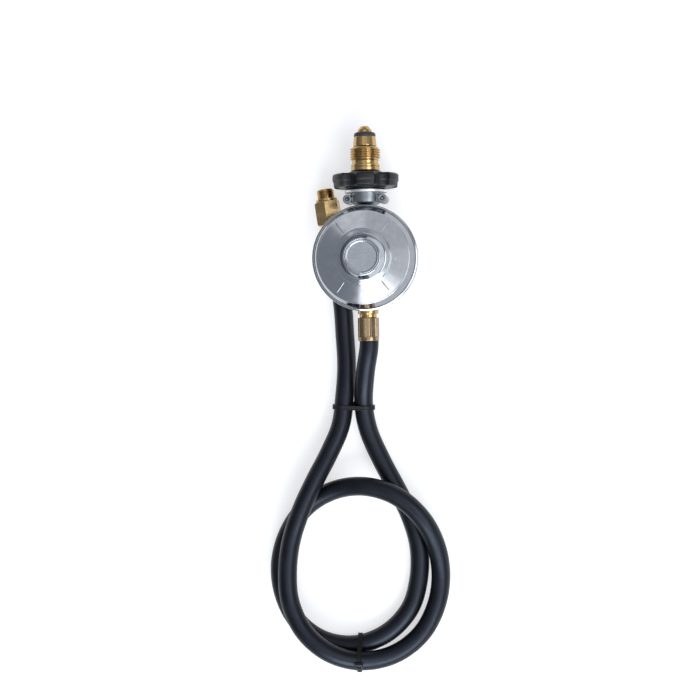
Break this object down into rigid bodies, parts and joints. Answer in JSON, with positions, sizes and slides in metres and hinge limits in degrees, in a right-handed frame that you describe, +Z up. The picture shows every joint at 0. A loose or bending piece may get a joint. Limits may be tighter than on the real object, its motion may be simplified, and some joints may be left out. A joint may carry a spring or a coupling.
{
  "type": "propane regulator hose",
  "caption": "Low pressure propane regulator with left-hand bottle fitting, lobed handwheel and dish cover, on a wound rubber hose with crimped brass ends.",
  "frame": {"origin": "middle of the regulator's footprint, on the surface that the object lies on; the hose and what is on it are not counted", "axes": "+Z up out of the regulator's cover, +Y along the inlet towards the bottle, +X to the right as the cover is read"},
  "size_m": [0.1344, 0.4019, 0.0575],
  "materials": {
    "zinc_body": "cast, satin",
    "zinc_cover": "polished die casting, lacquered",
    "brass": "turned, bright",
    "brass_ferrule": "bright, crimped",
    "handwheel_plastic": "moulded, satin",
    "hose_rubber": "extruded, satin",
    "seal_rubber": "moulded, matt",
    "tie_nylon": "moulded nylon",
    "inner_steel": "plain"
  },
  "bodies": {
    "regulator": {"inlet_nipple": "brass", "inlet_filter": "inner_steel", "nose_seal": "seal_rubber", "body_casting": "zinc_body", "cover": "zinc_cover", "tower_cap": "zinc_cover", "vent_screen": "inner_steel", "adjusting_plug": "zinc_body", "main_spring": "inner_steel", "diaphragm": "seal_rubber", "lever_pin": "inner_steel", "nozzle": "brass", "outlet_tail": "brass", "outlet_ferrule": "brass_ferrule", "hose": "hose_rubber", "far_ferrule": "brass_ferrule", "far_tail": "brass", "tie_upper": "tie_nylon", "tie_lower": "tie_nylon"},
    "hand_nut": {"pol_nut": "brass", "handwheel": "handwheel_plastic"},
    "diaphragm_stack": {"diaphragm_plate": "inner_steel", "diaphragm_stem": "brass"},
    "valve_lever": {"lever": "inner_steel", "valve_pad": "seal_rubber"},
    "swivel": {"swivel_nut": "brass", "adaptor": "brass"}
  },
  "joints": [
    {"name": "nut_spin", "type": "hinge", "parent": "regulator", "child": "hand_nut", "pos_m": [0, 0.04, 0.025], "axis": [0, 1, 0], "continuous": true},
    {"name": "swivel_spin", "type": "hinge", "parent": "regulator", "child": "swivel", "pos_m": [-0.02919, 0.01022, 0.0112], "axis": [-0.1305, 0.9914, 0], "continuous": true},
    {"name": "diaphragm_slide", "type": "slide", "parent": "regulator", "child": "diaphragm_stack", "axis": [0, 0, 1], "range_m": [0, 0.0015], "stiffness_N_per_m": 1200, "springref_m": -0.015, "deforming": ["main_spring", "diaphragm"]},
    {"name": "lever_pivot", "type": "hinge", "parent": "regulator", "child": "valve_lever", "pos_m": [0, -0.0055, 0.0198], "axis": [1, 0, 0], "range_deg": [-6.61, 0]}
  ],
  "couplings": [
    {"joint": "lever_pivot", "follows": "diaphragm_slide", "rad_per_m": -76.923}
  ]
}
